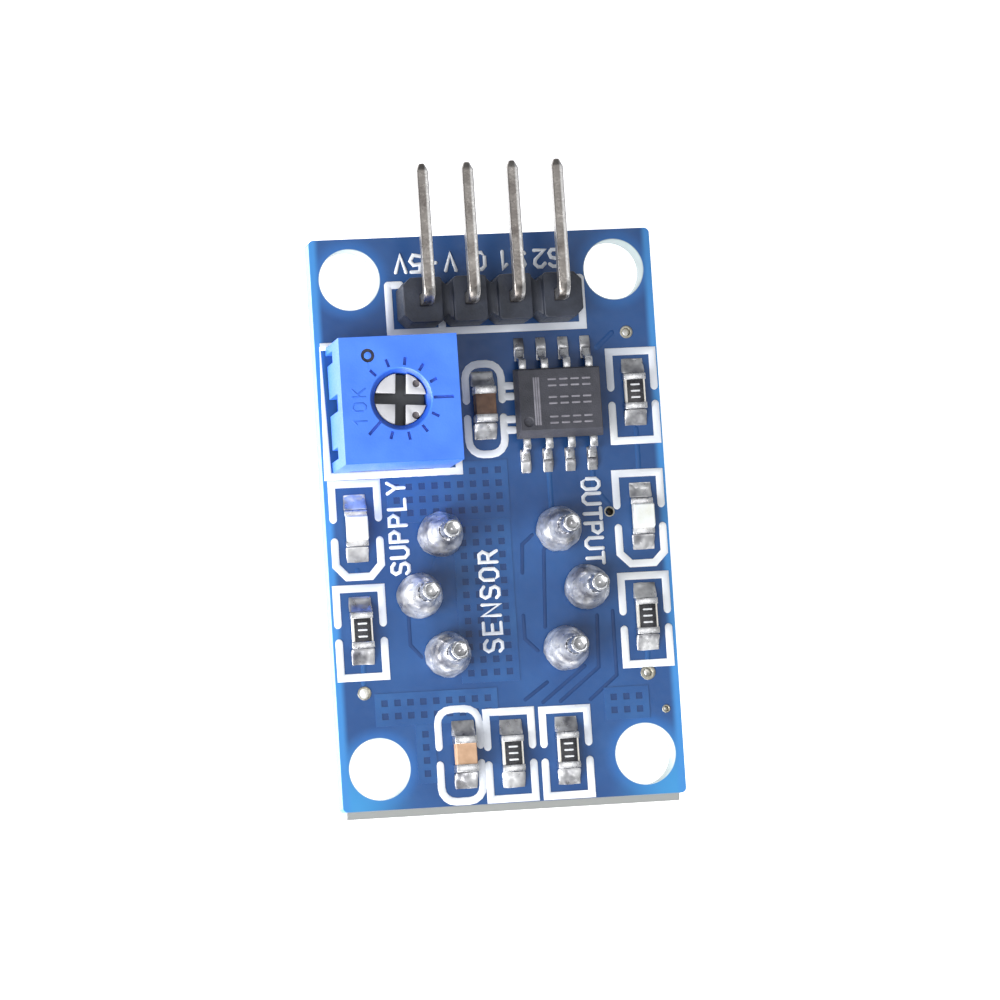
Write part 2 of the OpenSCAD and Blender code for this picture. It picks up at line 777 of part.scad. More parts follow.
sensor_heater_coil();
sensor_lead_wires();
sensor_pin(1);  // sensor_pin_1
sensor_pin(2);  // sensor_pin_2
sensor_pin(3);  // sensor_pin_3
sensor_pin(4);  // sensor_pin_4
sensor_pin(5);  // sensor_pin_5
sensor_pin(6);  // sensor_pin_6
sensor_solder();
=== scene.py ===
import math

import bpy
from mathutils import Matrix, Vector


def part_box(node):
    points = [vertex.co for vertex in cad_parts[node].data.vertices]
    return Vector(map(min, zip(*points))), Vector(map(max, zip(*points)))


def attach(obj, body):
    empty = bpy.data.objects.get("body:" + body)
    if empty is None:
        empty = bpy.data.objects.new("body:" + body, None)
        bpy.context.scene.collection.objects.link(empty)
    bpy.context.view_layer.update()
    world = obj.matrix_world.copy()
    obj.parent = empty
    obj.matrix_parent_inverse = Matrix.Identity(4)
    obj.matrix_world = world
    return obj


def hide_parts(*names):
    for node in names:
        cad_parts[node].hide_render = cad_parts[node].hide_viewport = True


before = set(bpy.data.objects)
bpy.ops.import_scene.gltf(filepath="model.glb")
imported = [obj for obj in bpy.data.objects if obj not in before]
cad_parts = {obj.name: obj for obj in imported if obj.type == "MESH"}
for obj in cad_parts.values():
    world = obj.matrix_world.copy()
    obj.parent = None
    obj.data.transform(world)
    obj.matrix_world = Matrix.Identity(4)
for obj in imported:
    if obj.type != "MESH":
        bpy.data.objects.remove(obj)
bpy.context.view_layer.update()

MM = 0.001

# ---- Camera ----
# A long lens held almost straight above the component face, leaning a little
# to the left and towards the sensor end, and turned a few degrees.
camera_place = Vector((-51.7, -22.1, 278.5)) * MM
camera_aim = Vector((0.2, 0.95, 0.0)) * MM
camera_roll = math.radians(3.7)
camera_lens = 182.66
back = (camera_place - camera_aim).normalized()
up = (Vector((0, 1, 0)) - back * back.y).normalized()
right = up.cross(back)
up, right = (up * math.cos(camera_roll) + right * math.sin(camera_roll),
             right * math.cos(camera_roll) - up * math.sin(camera_roll))
bpy.ops.object.camera_add()
camera = bpy.context.object
camera.name = "camera"
camera.matrix_world = Matrix((
    (right.x, up.x, back.x, camera_place.x),
    (right.y, up.y, back.y, camera_place.y),
    (right.z, up.z, back.z, camera_place.z),
    (0, 0, 0, 1)))
camera.data.lens = camera_lens
camera.data.sensor_width = 36
camera.data.clip_start = 0.01
camera.data.dof.use_dof = False
bpy.context.scene.camera = camera

# ---- Floor and light ----
# The module stands on its sensor can on a white table, between a wide soft box
# on the left, a low one beside it and a low one in front, in a white room.
bpy.context.scene.view_settings.view_transform = "Standard"


def linear(red, green, blue):
    """A colour given as 0 to 255 display values, as the shader wants it."""
    return tuple((c / 255 / 12.92) if c <= 10 else ((c / 255 + 0.055) / 1.055) ** 2.4
                 for c in (red, green, blue)) + (1.0,)


can_face_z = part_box("sensor_can")[0].z
bpy.ops.object.select_all(action="DESELECT")
bpy.ops.mesh.primitive_plane_add(size=3, location=(0, 0, can_face_z))
floor = bpy.context.object
floor.name = "table"
table_white = bpy.data.materials.new("table_white")
table_white.use_nodes = True
shader = table_white.node_tree.nodes["Principled BSDF"]
shader.inputs["Base Color"].default_value = linear(246, 246, 248)
shader.inputs["Roughness"].default_value = 0.9
shader.inputs["Emission Color"].default_value = (1, 1, 1, 1)
shader.inputs["Emission Strength"].default_value = 0.6
floor.data.materials.append(table_white)

for name, place, size, watts in (("soft_box_left", (-0.42, -0.28, 0.42), 0.6, 2.6),
                                 ("soft_box_low", (-0.46, -0.16, 0.15), 0.42, 4.8),
                                 ("soft_box_front", (-0.14, -0.5, 0.15), 0.3, 2.2),
                                 ("soft_box_top", (0.1, 0.0, 0.75), 0.4, 0.7)):
    bpy.ops.object.light_add(type="AREA", location=place)
    lamp = bpy.context.object
    lamp.name = name
    lamp.data.shape = "DISK"
    lamp.data.size = size
    lamp.data.energy = watts
    lamp.rotation_euler = Vector(place).to_track_quat("Z", "Y").to_euler()
room = bpy.data.worlds.new("room")
room.use_nodes = True
room.node_tree.nodes["Background"].inputs["Color"].default_value = (0.93, 0.96, 1, 1)
room.node_tree.nodes["Background"].inputs["Strength"].default_value = 0.3
bpy.context.scene.world = room

# ---- Circuit board ----
# Fibreglass laminate under blue solder mask: the copper stops short of the
# edges and holes, where light glows through the bare laminate. It was snapped
# from its panel, which leaves a pale ridge of fibres along one edge.
HALF_W, HALF_L = 9.75, 16.0
HOLE_AT, HOLE_R = (7.55, 13.7), 1.7

mottle = bpy.data.node_groups.new("mottle", "ShaderNodeTree")
for socket_name, way, value in (("Patch size mm", "INPUT", 2.0), ("Grain size mm", "INPUT", 0.2),
                                ("Tone", "OUTPUT", 0.0), ("Grain", "OUTPUT", 0.0)):
    socket = mottle.interface.new_socket(name=socket_name, in_out=way,
                                         socket_type="NodeSocketFloat")
    socket.default_value = value
group_in = mottle.nodes.new("NodeGroupInput")
group_out = mottle.nodes.new("NodeGroupOutput")
place_node = mottle.nodes.new("ShaderNodeTexCoord")
for output, detail in (("Tone", 3.0), ("Grain", 2.0)):
    per_metre = mottle.nodes.new("ShaderNodeMath")
    per_metre.operation = "DIVIDE"
    per_metre.inputs[0].default_value = 1000
    noise = mottle.nodes.new("ShaderNodeTexNoise")
    noise.inputs["Detail"].default_value = detail
    mottle.links.new(group_in.outputs["Patch size mm" if output == "Tone" else "Grain size mm"],
                     per_metre.inputs[1])
    mottle.links.new(per_metre.outputs[0], noise.inputs["Scale"])
    mottle.links.new(place_node.outputs["Object"], noise.inputs["Vector"])
    spread = mottle.nodes.new("ShaderNodeMapRange")
    spread.inputs["From Min"].default_value = 0.3
    spread.inputs["From Max"].default_value = 0.7
    mottle.links.new(noise.outputs[0], spread.inputs["Value"])
    mottle.links.new(spread.outputs[0], group_out.inputs[output])


def finish(name, dark, light, rough, patch=2.0, grain=0.15, bump=0.15, **fixed):
    """A surface that wanders between two colours and two roughnesses, with fine relief."""
    made = bpy.data.materials.new(name)
    made.use_nodes = True
    nodes, links = made.node_tree.nodes, made.node_tree.links
    body = nodes["Principled BSDF"]
    spots = nodes.new("ShaderNodeGroup")
    spots.node_tree = mottle
    spots.inputs["Patch size mm"].default_value = patch
    spots.inputs["Grain size mm"].default_value = grain
    blend = nodes.new("ShaderNodeMix")
    blend.name = "colour"
    blend.data_type = "RGBA"
    blend.inputs[6].default_value = linear(*dark)
    blend.inputs[7].default_value = linear(*light)
    links.new(spots.outputs["Tone"], blend.inputs[0])
    links.new(blend.outputs[2], body.inputs["Base Color"])
    gloss = nodes.new("ShaderNodeMapRange")
    gloss.inputs["To Min"].default_value = rough[0]
    gloss.inputs["To Max"].default_value = rough[1]
    links.new(spots.outputs["Grain"], gloss.inputs["Value"])
    links.new(gloss.outputs[0], body.inputs["Roughness"])
    relief = nodes.new("ShaderNodeBump")
    relief.inputs["Strength"].default_value = bump
    relief.inputs["Distance"].default_value = 0.02 * MM
    links.new(spots.outputs["Grain"], relief.inputs["Height"])
    links.new(relief.outputs[0], body.inputs["Normal"])
    for socket_name, value in fixed.items():
        body.inputs[socket_name.replace("_", " ")].default_value = value
    return made


def only(piece):
    bpy.ops.object.select_all(action="DESELECT")
    piece.hide_viewport = False
    piece.select_set(True)
    bpy.context.view_layer.objects.active = piece


def mounted(piece, slot, *replaced, body="module"):
    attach(piece, body)
    if replaced:
        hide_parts(*replaced)


def fresh_copy(node, suffix):
    """A copy of a CAD node, welded into one clean skin."""
    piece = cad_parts[node].copy()
    piece.data = piece.data.copy()
    for key in list(piece.keys()):
        del piece[key]
    piece.parent = None
    piece.matrix_world = Matrix.Identity(4)
    piece.name = node + suffix
    bpy.context.scene.collection.objects.link(piece)
    only(piece)
    bpy.ops.object.mode_set(mode="EDIT")
    bpy.ops.mesh.select_all(action="SELECT")
    bpy.ops.mesh.remove_doubles(threshold=0.001 * MM)
    bpy.ops.mesh.dissolve_limited(angle_limit=math.radians(0.4))
    bpy.ops.object.mode_set(mode="OBJECT")
    return piece


def dress(node, surface):
    """Gives a CAD node its finish."""
    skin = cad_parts[node].data.materials
    skin.clear()
    skin.append(surface)


def eased(node, width, surface, slot, body="module", steps=2):
    """The node with its sharp edges rounded by width, as moulding or etching leaves them."""
    dress(node, surface)
    piece = fresh_copy(node, "_eased")
    rounding = piece.modifiers.new("rounding", "BEVEL")
    rounding.width = width * MM
    rounding.segments = steps
    rounding.limit_method = "ANGLE"
    rounding.angle_limit = math.radians(40)
    rounding.harden_normals = False
    bpy.ops.object.modifier_apply(modifier="rounding")
    bpy.ops.object.shade_smooth_by_angle(angle=math.radians(35))
    flat = piece.modifiers.new("flat", "WEIGHTED_NORMAL")
    flat.keep_sharp = True
    bpy.ops.object.modifier_apply(modifier="flat")
    mounted(piece, slot, node, body=body)
    return piece


solder_mask = finish("solder_mask", (30, 68, 122), (44, 86, 142), (0.3, 0.42), patch=5, grain=0.4,
                     bump=0.12, Coat_Weight=0.08, Coat_Roughness=0.15, Specular_IOR_Level=0.3)


def math_node(material, operation, first, second=None):
    node = material.node_tree.nodes.new("ShaderNodeMath")
    node.operation = operation
    for socket, value in zip(node.inputs, (first, second)):
        if isinstance(value, (int, float)):
            socket.default_value = value
        elif value is not None:
            material.node_tree.links.new(value, socket)
    return node.outputs[0]


def within(material, value, start, end):
    """1 where value is start or less, falling to 0 at end."""
    node = material.node_tree.nodes.new("ShaderNodeMapRange")
    node.interpolation_type = "SMOOTHSTEP"
    for name, number in (("From Min", start), ("From Max", end), ("To Min", 1), ("To Max", 0)):
        node.inputs[name].default_value = number
    material.node_tree.links.new(value, node.inputs["Value"])
    return node.outputs[0]


def overlay(material, mask, colour):
    """Lays a colour over what feeds the material's base colour."""
    nodes, links = material.node_tree.nodes, material.node_tree.links
    base = nodes["Principled BSDF"].inputs["Base Color"]
    under_it = base.links[0].from_socket
    layer = nodes.new("ShaderNodeMix")
    layer.data_type = "RGBA"
    links.new(mask, layer.inputs[0])
    links.new(under_it, layer.inputs[6])
    layer.inputs[7].default_value = linear(*colour)
    links.new(layer.outputs[2], base)


def coordinates(material):
    """The X, Y and Z of a point on the piece, as three sockets."""
    spot = material.node_tree.nodes.new("ShaderNodeTexCoord")
    split = material.node_tree.nodes.new("ShaderNodeSeparateXYZ")
    material.node_tree.links.new(spot.outputs["Object"], split.inputs[0])
    return split.outputs


board_at = coordinates(solder_mask)
across = math_node(solder_mask, "ABSOLUTE", board_at["X"])
along = math_node(solder_mask, "ABSOLUTE", board_at["Y"])
to_side = math_node(solder_mask, "SUBTRACT", HALF_W * MM, across)
off_x = math_node(solder_mask, "SUBTRACT", across, HOLE_AT[0] * MM)
off_y = math_node(solder_mask, "SUBTRACT", along, HOLE_AT[1] * MM)
to_hole = math_node(solder_mask, "SQRT", math_node(
    solder_mask, "ADD", math_node(solder_mask, "MULTIPLY", off_x, off_x),
    math_node(solder_mask, "MULTIPLY", off_y, off_y)))
to_foot = math_node(solder_mask, "ADD", board_at["Y"], HALF_L * MM)
to_corner = math_node(solder_mask, "SQRT", math_node(
    solder_mask, "ADD", math_node(solder_mask, "MULTIPLY", to_side, to_side),
    math_node(solder_mask, "MULTIPLY", to_foot, to_foot)))
overlay(solder_mask, within(solder_mask, to_hole, HOLE_R * MM, 2.5 * MM), (44, 98, 164))
overlay(solder_mask, within(solder_mask, to_corner, 0.6 * MM, 4.6 * MM), (58, 138, 196))
overlay(solder_mask, within(solder_mask, to_side, 0.2 * MM, 0.6 * MM), (60, 132, 198))
overlay(solder_mask, within(solder_mask, to_side, 0.0, 0.03 * MM), (124, 176, 202))
overlay(solder_mask, within(solder_mask, to_hole, 1.71 * MM, 1.76 * MM), (190, 205, 205))
overlay(solder_mask, within(solder_mask, to_foot, -0.02 * MM, 0.04 * MM), (132, 134, 132))
eased("circuit_board", 0.06, solder_mask, "solder_mask")

# ---- Copper under the mask ----
# Copper foil that stands up through the mask: a cross-hatched ground on both
# faces, tracks that are a little paler, and the darker gaps that part them.
mask_over_copper = finish("mask_over_copper", (34, 74, 130), (46, 92, 148), (0.3, 0.42), patch=3,
                          grain=0.3, bump=0.1, Coat_Weight=0.08, Specular_IOR_Level=0.3)
mask_over_gap = finish("mask_over_gap", (26, 56, 104), (34, 66, 116), (0.3, 0.42), patch=3,
                       grain=0.3, bump=0.1, Coat_Weight=0.08, Specular_IOR_Level=0.3)
HATCH = 0.73
COPPER_T = 0.018
FLOOR_T = 0.006
BOARD_T = 1.6


def hatch(name, x0, y0, across_count, along_count, under_side=False):
    """A lattice of raised copper strips round square openings down to the laminate."""
    cell = HATCH / 2
    nx, ny = 2 * across_count + 1, 2 * along_count + 1
    bpy.ops.object.select_all(action="DESELECT")
    bpy.context.tool_settings.mesh_select_mode = (False, False, True)
    bpy.ops.mesh.primitive_grid_add(x_subdivisions=nx, y_subdivisions=ny, size=1)
    piece = bpy.context.object
    piece.name = name
    piece.data.transform(Matrix.Translation((x0 * MM, y0 * MM, 0))
                         @ Matrix.Diagonal((nx * cell * MM, ny * cell * MM, 1, 1))
                         @ Matrix.Translation((0.5, 0.5, 0)))
    bpy.ops.object.mode_set(mode="EDIT")
    bpy.ops.mesh.select_all(action="SELECT")
    bpy.ops.mesh.extrude_region_move(TRANSFORM_OT_translate={"value": (0, 0, FLOOR_T * MM)})
    bpy.ops.mesh.select_all(action="SELECT")
    bpy.ops.mesh.normals_make_consistent(inside=False)
    bpy.ops.mesh.select_all(action="DESELECT")
    bpy.ops.object.mode_set(mode="OBJECT")
    for face in piece.data.polygons:
        i = int((face.center.x / MM - x0) / cell)
        j = int((face.center.y / MM - y0) / cell)
        if face.normal.z > 0.5:
            face.select = not (i % 2 == 1 and j % 2 == 1)
    bpy.ops.object.mode_set(mode="EDIT")
    bpy.ops.mesh.extrude_region_move(TRANSFORM_OT_translate={"value": (0, 0, COPPER_T * MM)})
    bpy.ops.object.mode_set(mode="OBJECT")
    piece.data.materials.append(mask_over_copper)
    piece.data.materials.append(mask_over_gap)
    for face in piece.data.polygons:
        face.material_index = int(face.normal.z > 0.5 and face.center.z < FLOOR_T * 1.5 * MM)
    if under_side:
        piece.data.transform(Matrix.Translation((0, 0, -BOARD_T * MM))
                             @ Matrix.Diagonal((1, 1, -1, 1)))
    only(piece)
    bpy.ops.object.mode_set(mode="EDIT")
    bpy.ops.mesh.select_all(action="SELECT")
    bpy.ops.mesh.normals_make_consistent(inside=False)
    bpy.ops.object.mode_set(mode="OBJECT")
    mounted(piece, "solder_mask")


def strokes(name, lines, width, surface, slot, height=0.03, z=0.0, body="module"):
    """Flat raised lines with round ends, each a row of points in millimetres."""
    curve = bpy.data.curves.new(name, "CURVE")
    curve.dimensions = "3D"
    curve.bevel_depth = width / 2 * MM
    curve.bevel_resolution = 2
    curve.use_fill_caps = True
    for line in lines:
        row = [Vector((p[0], p[1], 0)) for p in line]
        start, end = (row[0] - row[1]).normalized(), (row[-1] - row[-2]).normalized()
        if (row[0] - row[-1]).length < 0.001:
            start = end = Vector((0, 0, 0))
        ends = ((0.5, 0.15), (0.43, 0.5), (0.25, 0.86), (0.0, 1.0))
        path = [(row[0] + start * width * s, r) for s, r in ends]
        for before, corner, after in zip(row, row[1:], row[2:]):
            turn = (corner - before).normalized().dot((after - corner).normalized())
            path.append((corner, 1 / max(math.sqrt((1 + turn) / 2), 0.6)))
        path += [(row[-1] + end * width * s, r) for s, r in reversed(ends)]
        spline = curve.splines.new("POLY")
        spline.points.add(len(path) - 1)
        for point, (place, radius) in zip(spline.points, path):
            point.co = (place.x * MM, place.y * MM, 0, 1)
            point.radius = radius
    piece = bpy.data.objects.new(name, curve)
    bpy.context.scene.collection.objects.link(piece)
    only(piece)
    bpy.ops.object.convert(target="MESH")
    piece = bpy.context.object
    squeeze = 2 * height / width
    piece.data.transform(Matrix.Translation((0, 0, z * MM))
                         @ Matrix.Diagonal((1, 1, squeeze, 1)))
    piece.data.materials.append(surface)
    bpy.ops.object.shade_smooth_by_angle(angle=math.radians(50))
    mounted(piece, slot, body=body)
    return piece


hatch("hatch_upper_left", -6.2, -0.07, 9, 4)
hatch("hatch_middle", -2.6, -9.2, 4, 12)
hatch("hatch_lower_left", -7.6, -11.35, 9, 2)
hatch("hatch_foot_left", -5.41, -14.64, 1, 4)
hatch("hatch_lower_right", 5.4, -11.7, 3, 2)
hatch("hatch_sensor_side_top", -4.56, 6.6, 12, 4, under_side=True)
hatch("hatch_sensor_side_foot", -4.56, -15.5, 12, 2, under_side=True)
strokes("copper_gaps", [
    [(1.9, -1.1), (1.3, -1.6), (1.2, -3.2)], [(2.9, -1.3), (2.5, -2.0), (2.3, -6.3)],
    [(1.1, -5.6), (1.1, -6.9), (1.8, -7.6)], [(0.9, -10.3), (2.2, -9.4)],
    [(5.3, -5.8), (5.2, -8.7), (2.9, -10.5)], [(6.2, -5.6), (6.2, -9.2), (4.6, -10.5)],
    [(4.4, -8.6), (1.9, -10.5)], [(-5.4, -5.2), (-5.4, -6.9), (-4.8, -7.6)]],
    0.22, mask_over_gap, "solder_mask", height=0.012)
strokes("tracks", [
    [(5.6, 2.9), (5.6, 1.4), (6.4, 0.4)], [(3.1, 2.9), (3.1, 0.3)], [(8.25, 4.6), (8.25, 2.3)],
    [(-8.1, -3.0), (-8.1, -2.6)], [(7.2, 10.1), (6.3, 9.3)], [(8.0, -8.6), (8.1, -7.8)],
    [(-8.15, -8.9), (-8.1, -7.8)]], 0.3, mask_over_copper, "solder_mask", height=0.02)

# ---- Printed legend ----
# White epoxy ink screened over the mask: a box or bracket round each part,
# and plain generic words and signs. It stands a few hundredths proud.
legend_ink = finish("legend_ink", (214, 220, 232), (252, 254, 255), (0.5, 0.65), patch=6,
                    grain=0.12, bump=0.3)
GLYPHS = {
    "O": [[(0, .2), (0, .8), (.2, 1), (.45, 1), (.65, .8), (.65, .2), (.45, 0), (.2, 0), (0, .2)]],
    "N": [[(0, 0), (0, 1), (.65, 0), (.65, 1)]],
    "U": [[(0, 1), (0, .2), (.2, 0), (.45, 0), (.65, .2), (.65, 1)]],
    "T": [[(0, 1), (.65, 1)], [(.33, 1), (.33, 0)]],
    "S": [[(.65, .85), (.45, 1), (.15, 1), (0, .8), (.1, .55), (.55, .45), (.65, .2), (.5, 0),
           (.15, 0), (0, .15)]],
    "E": [[(.62, 1), (0, 1), (0, 0), (.62, 0)], [(0, .5), (.5, .5)]],
    "R": [[(0, 0), (0, 1), (.45, 1), (.62, .8), (.45, .5), (0, .5)], [(.35, .5), (.65, 0)]],
    "V": [[(0, 1), (.33, 0), (.65, 1)]],
    "+": [[(0, .5), (.65, .5)], [(.33, .82), (.33, .18)]],
    "0": [[(0, .2), (0, .8), (.2, 1), (.45, 1), (.65, .8), (.65, .2), (.45, 0), (.2, 0), (0, .2)]],
    "1": [[(.12, .78), (.35, 1), (.35, 0)]],
    "2": [[(0, .8), (.2, 1), (.45, 1), (.65, .8), (.6, .55), (0, 0), (.65, 0)]],
    "5": [[(.62, 1), (.08, 1), (0, .55), (.45, .6), (.65, .35), (.45, 0), (0, .08)]],
    "L": [[(0, 1), (0, 0), (.6, 0)]],
    "P": [[(0, 0), (0, 1), (.45, 1), (.62, .75), (.45, .48), (0, .48)]],
    "Y": [[(0, 1), (.33, .5), (.65, 1)], [(.33, .5), (.33, 0)]],
    "K": [[(0, 0), (0, 1)], [(.62, 1), (.05, .45)], [(.2, .6), (.65, 0)]],
}


def word(text, start, height, turn, pitch=0.9):
    """The strokes of a word whose baseline starts at a point and runs at an angle."""
    run = Vector((math.cos(math.radians(turn)), math.sin(math.radians(turn))))
    rise = Vector((-run.y, run.x))
    lines = []
    for place, letter in enumerate(text):
        for stroke in GLYPHS[letter]:
            lines.append([Vector(start) + run * (place * pitch + x * 0.95) * height
                          + rise * y * height for x, y in stroke])
    return lines


def bracket_pair(x0, x1, y0, y1, gap=0.5):
    """A square-cornered frame open at the middle of both long sides."""
    middle = (y0 + y1) / 2
    return [[(x0, middle + gap), (x0, y1), (x1, y1), (x1, middle + gap)],
            [(x0, middle - gap), (x0, y0), (x1, y0), (x1, middle - gap)]]


def rounded_pair(x0, x1, y0, y1, corner=0.8, gap=0.5):
    middle = (y0 + y1) / 2
    halves = []
    for y_end, way in ((y1, 1), (y0, -1)):
        arc_left = [(x0 + corner - corner * math.cos(a), y_end - way * corner
                     + way * corner * math.sin(a)) for a in (0.0, 0.39, 0.79, 1.18, 1.57)]
        arc_right = [(x0 + x1 - x, y) for x, y in reversed(arc_left)]
        halves.append([(x0, middle + way * gap)] + arc_left + arc_right
                      + [(x1, middle + way * gap)])
    return halves


outlines = [
    [(-5.4, 13.3), (-5.4, 10.6), (5.6, 10.6), (5.6, 13.3)], [(-5.4, 13.3), (-4.7, 13.3)],
    [(5.6, 13.3), (4.9, 13.3)], [(-2.45, 10.6), (-2.45, 13.0)],
    [(-9.45, 10.0), (-2.0, 10.0), (-2.0, 2.7), (-9.45, 2.7), (-9.45, 10.0)],
    [(-9.3, 0.3), (-9.3, 2.25), (-6.75, 2.25), (-6.75, 0.3)],
    [(-9.3, -0.95), (-9.3, -2.3), (-8.7, -2.95), (-7.35, -2.95), (-6.75, -2.3), (-6.75, -0.95)],
    [(6.85, 0.3), (6.85, 2.1), (9.4, 2.1), (9.4, 0.3)],
    [(6.85, -0.95), (6.85, -2.4), (7.45, -3.0), (8.8, -3.0), (9.4, -2.4), (9.4, -0.95)],
    [(0.9, 7.35), (1.3, 7.35)], [(0.9, 6.75), (1.3, 6.75)],
    [(0.9, 5.45), (1.3, 5.45)], [(0.9, 4.85), (1.3, 4.85)],
]
for x0, x1, y0, y1 in ((6.95, 9.45, 3.95, 9.0), (-9.4, -6.85, -8.55, -3.6),
                       (6.8, 9.35, -8.65, -3.7), (-1.4, 1.15, -15.75, -10.9),
                       (1.8, 4.35, -15.75, -10.95)):
    outlines += bracket_pair(x0, x1, y0, y1)
for x0, x1, y0, y1 in ((-1.35, 0.7, 3.55, 8.65), (-4.15, -1.8, -15.75, -10.6)):
    outlines += rounded_pair(x0, x1, y0, y1)
OUTLINE_W, LETTER_W = 0.42, 0.2
strokes("legend_outlines", outlines, OUTLINE_W, legend_ink, "solder_mask", z=COPPER_T)
words = []
for text, x_right, pitch in (("+5V", -2.6, 0.9), ("0V", 0.2, 1.75), ("S1", 2.5, 1.0),
                             ("S2", 4.5, 0.9)):
    words += word(text, (x_right, 14.95), 0.95, 180, pitch)
words += word("SUPPLY", (-5.2, -2.9), 0.95, 90, pitch=0.95)
words += word("OUTPUT", (4.95, 1.9), 0.95, -90, pitch=0.88)
words += word("SENSOR", (-0.2, -7.5), 1.0, 90, pitch=1.0)
strokes("legend_words", words, LETTER_W, legend_ink, "solder_mask", z=COPPER_T)
strokes("legend_sensor_side", [[(10.3 * math.cos(a), -4.2 + 10.3 * math.sin(a))
                                for a in [math.radians(d) for d in range(35, 146, 5)]]],
        0.25, legend_ink, "solder_mask", z=-BOARD_T)

# ---- Plated holes ----
# Small copper barrels with tinned rings that join the copper of both faces.
plating = finish("plating", (150, 150, 140), (205, 200, 184), (0.3, 0.5), patch=0.5, grain=0.1,
                 Metallic=1.0)
eased("plated_vias", 0.02, plating, "plating")

# ---- Pin header ----
# A breakaway strip of black moulded nylon with notches between its four
# positions, and tinned square brass pins bent over to run past the board.
PIN_PITCH = 2.54
header_plastic = finish("header_plastic", (30, 34, 44), (52, 57, 70), (0.38, 0.55), patch=1.5,
                        grain=0.1, bump=0.25)
eased("header_housing", 0.07, header_plastic, "header_plastic")
pin_metal = finish("pin_metal", (112, 106, 102), (158, 153, 148), (0.24, 0.42), patch=1.1,
                   grain=0.15, bump=0.12, Metallic=0.95)
# Painted highlights: each pin is painted pale along both long edges, away from its centre line, as
# if the edges caught the light.
off_line = math_node(pin_metal, "PINGPONG", math_node(
    pin_metal, "ADD", coordinates(pin_metal)["X"], 1.5 * PIN_PITCH * MM), PIN_PITCH / 2 * MM)
overlay(pin_metal, within(pin_metal, math_node(pin_metal, "MULTIPLY", off_line, -1),
                          -0.27 * MM, -0.17 * MM), (214, 212, 210))
for number in (1, 2, 3, 4):
    eased(f"header_pin_{number}", 0.07, pin_metal, "pin_metal")

# ---- Solder joints ----
# Tin that flowed and froze: each joint is remeshed into a single soft skin,
# relaxed and roughened slightly, bright where smooth and dull where it set.
solder = finish("solder", (112, 112, 120), (255, 255, 255), (0.24, 0.46), patch=1.3, grain=0.35,
                bump=0.4, Metallic=0.74)
freeze_marks = bpy.data.textures.new("freeze_marks", "CLOUDS")
freeze_marks.noise_scale = 0.55 * MM
freeze_marks.noise_depth = 1


def flowed(node, cell, roughen, relax=4, slot="solder"):
    """The node's solder as one skin of cell-sized faces, relaxed and gently uneven."""
    dress(node, solder)
    piece = fresh_copy(node, "_flowed")
    skin = piece.modifiers.new("skin", "REMESH")
    skin.mode = "VOXEL"
    skin.voxel_size = cell * MM
    bpy.ops.object.modifier_apply(modifier="skin")
    relaxed = piece.modifiers.new("relax", "SMOOTH")
    relaxed.factor = 0.5
    relaxed.iterations = relax
    bpy.ops.object.modifier_apply(modifier="relax")
    uneven = piece.modifiers.new("uneven", "DISPLACE")
    uneven.texture = freeze_marks
    uneven.strength = roughen * MM
    uneven.mid_level = 0.75
    bpy.ops.object.modifier_apply(modifier="uneven")
    piece.data.materials.clear()
    piece.data.materials.append(solder)
    bpy.ops.object.shade_smooth()
    mounted(piece, slot, node)
    return piece


flowed("sensor_solder", 0.08, 0.15, relax=10)
flowed("chip_solder", 0.045, 0.07, relax=60)
flowed("comparator_solder", 0.035, 0.05, relax=50)
flowed("header_solder", 0.06, 0.08)
flowed("trimmer_solder", 0.06, 0.08)

# ---- Trimmer ----
# A blue thermoset case over a ceramic track. A white cross-slot rotor turns
# in its window against moulded marks; a rubber ring and potting keep it dry.
case_plastic = finish("case_plastic", (56, 114, 228), (72, 130, 240), (0.32, 0.45), patch=2.5,
                      grain=0.12, bump=0.12)
trimmer_low, trimmer_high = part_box("trimmer_case")
trimmer_mid = (trimmer_low + trimmer_high) / 2 / MM
case_top = trimmer_high.z / MM
MARKER = (trimmer_mid.x - 1.72, trimmer_mid.y + 2.46)


def round_spot(material, centre, radius, fade, below):
    """1 inside an upright cylinder and under a height, in millimetres."""
    at = coordinates(material)
    squares = []
    for axis, middle in (("X", centre[0]), ("Y", centre[1])):
        off = math_node(material, "SUBTRACT", at[axis], middle * MM)
        squares.append(math_node(material, "MULTIPLY", off, off))
    away = math_node(material, "SQRT", math_node(material, "ADD", *squares))
    return math_node(material, "MULTIPLY",
                     within(material, away, radius * MM, (radius + fade) * MM),
                     within(material, at["Z"], (below - 0.08) * MM, below * MM))


# Painted shade: the sunk window round the rotor, below the case top, is painted a darker blue as if
# in shade.
overlay(case_plastic, round_spot(case_plastic, trimmer_mid, 2.98, 0.07, case_top - 0.02),
        (40, 90, 200))
# Painted shade: the pit round the small metal marker, below the case top, is painted dark grey as
# if in shade.
overlay(case_plastic, round_spot(case_plastic, MARKER, 0.4, 0.03, case_top - 0.02), (62, 58, 70))
eased("trimmer_case", 0.12, case_plastic, "case_plastic", steps=3)
rotor_plastic = finish("rotor_plastic", (186, 186, 190), (206, 206, 210), (0.4, 0.55), patch=0.9,
                       grain=0.1, bump=0.15)
rotor_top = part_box("trimmer_rotor")[1].z / MM
ROTOR_SET = -4
DIMPLE_AT, DIMPLE_SIDE = 1.22, 46
